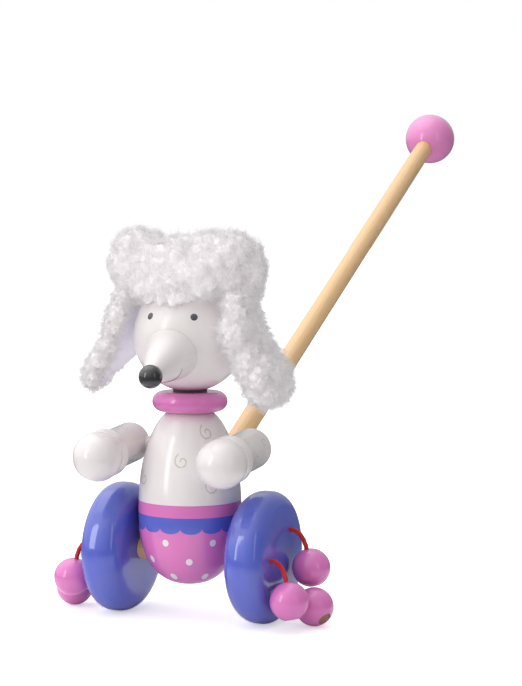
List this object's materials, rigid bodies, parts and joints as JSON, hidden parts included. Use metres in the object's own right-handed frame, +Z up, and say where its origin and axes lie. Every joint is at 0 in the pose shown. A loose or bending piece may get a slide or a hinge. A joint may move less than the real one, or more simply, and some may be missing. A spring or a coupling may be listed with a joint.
{
  "type": "push-along toy dog",
  "caption": "Turned wooden poodle on two wheels, pushed by a long rod, with fur topknot and ears and beads that swing on cords.",
  "frame": {"origin": "on the ground under the axle, in the figure's middle plane", "axes": "+Z up; the figure faces -Y; +X is the figure's left side; the push rod rises towards +Y"},
  "size_m": [0.162, 0.4887, 0.2863],
  "materials": {
    "white_paint": "gloss white paint on turned wood",
    "body_paint": "gloss paint on turned wood: white above, pink and blue bands and a pink base with white dots below",
    "pink_paint": "gloss pink paint on turned wood",
    "blue_paint": "gloss periwinkle paint on turned wood",
    "black_paint": "gloss black paint on turned wood",
    "bare_wood": "smooth clear-varnished pale hardwood dowel",
    "red_cord": "braided cord",
    "white_fur": "curly faux-fur pile",
    "lilac_lining": "smooth satin lining",
    "grey_felt": "felt"
  },
  "bodies": {
    "figure": {"body": "body_paint", "collar": "pink_paint", "neck_washer": "grey_felt", "neck_dowel": "bare_wood", "handle_rod": "bare_wood", "handle_ball": "pink_paint"},
    "head": {"head": "white_paint", "snout": "white_paint", "nose": "black_paint", "nose_peg": "bare_wood", "topknot": "white_fur"},
    "left_ear": {"left_ear_fur": "white_fur", "left_ear_lining": "lilac_lining"},
    "right_ear": {"right_ear_fur": "white_fur", "right_ear_lining": "lilac_lining"},
    "left_arm": {"left_arm": "white_paint", "left_shoulder_dowel": "bare_wood"},
    "right_arm": {"right_arm": "white_paint", "right_shoulder_dowel": "bare_wood"},
    "wheelset": {"axle": "bare_wood", "left_wheel": "blue_paint", "right_wheel": "blue_paint"},
    "left_bead_1": {"left_cord_1": "red_cord", "left_bead_1": "pink_paint", "left_plug_1": "bare_wood"},
    "left_bead_2": {"left_cord_2": "red_cord", "left_bead_2": "pink_paint", "left_plug_2": "bare_wood"},
    "left_bead_3": {"left_cord_3": "red_cord", "left_bead_3": "pink_paint", "left_plug_3": "bare_wood"},
    "right_bead_1": {"right_cord_1": "red_cord", "right_bead_1": "pink_paint", "right_plug_1": "bare_wood"},
    "right_bead_2": {"right_cord_2": "red_cord", "right_bead_2": "pink_paint", "right_plug_2": "bare_wood"},
    "right_bead_3": {"right_cord_3": "red_cord", "right_bead_3": "pink_paint", "right_plug_3": "bare_wood"}
  },
  "joints": [
    {"name": "wheel_spin", "type": "hinge", "parent": "figure", "child": "wheelset", "pos_m": [0, 0, 0.035], "axis": [1, 0, 0], "continuous": true},
    {"name": "head_swivel", "type": "hinge", "parent": "figure", "child": "head", "pos_m": [0, 0, 0.1223], "axis": [0, 0, 1], "range_deg": [-45, 45]},
    {"name": "left_arm_swing", "type": "hinge", "parent": "figure", "child": "left_arm", "pos_m": [0.0356, 0, 0.0921], "axis": [-1, 0, 0], "range_deg": [-25, 15]},
    {"name": "right_arm_swing", "type": "hinge", "parent": "figure", "child": "right_arm", "pos_m": [-0.0356, 0, 0.0921], "axis": [-1, 0, 0], "range_deg": [-25, 15]},
    {"name": "left_ear_flap", "type": "hinge", "parent": "head", "child": "left_ear", "pos_m": [0.03146, 0.00165, 0.16519], "axis": [0.0523, -0.9986, 0], "range_deg": [-4, 40]},
    {"name": "right_ear_flap", "type": "hinge", "parent": "head", "child": "right_ear", "pos_m": [-0.03146, -0.00165, 0.16519], "axis": [-0.0523, 0.9986, 0], "range_deg": [-10, 32]},
    {"name": "left_bead_1_swing", "type": "hinge", "parent": "wheelset", "child": "left_bead_1", "pos_m": [0.0535, 0.00975, 0.04893], "axis": [1, 0, 0], "range_deg": [-35, 35]},
    {"name": "left_bead_2_swing", "type": "hinge", "parent": "wheelset", "child": "left_bead_2", "pos_m": [0.0535, -0.01693, 0.03648], "axis": [1, 0, 0], "range_deg": [-35, 4]},
    {"name": "left_bead_3_swing", "type": "hinge", "parent": "wheelset", "child": "left_bead_3", "pos_m": [0.0535, 0.00719, 0.01959], "axis": [1, 0, 0], "range_deg": [-5, 40]},
    {"name": "right_bead_1_swing", "type": "hinge", "parent": "wheelset", "child": "right_bead_1", "pos_m": [-0.0505, -0.01642, 0.0394], "axis": [1, 0, 0], "range_deg": [-35, 3]},
    {"name": "right_bead_2_swing", "type": "hinge", "parent": "wheelset", "child": "right_bead_2", "pos_m": [-0.0505, 0.0044, 0.01858], "axis": [1, 0, 0], "range_deg": [-6, 25]},
    {"name": "right_bead_3_swing", "type": "hinge", "parent": "wheelset", "child": "right_bead_3", "pos_m": [-0.0505, 0.01202, 0.04702], "axis": [1, 0, 0], "range_deg": [-10, 35]}
  ]
}
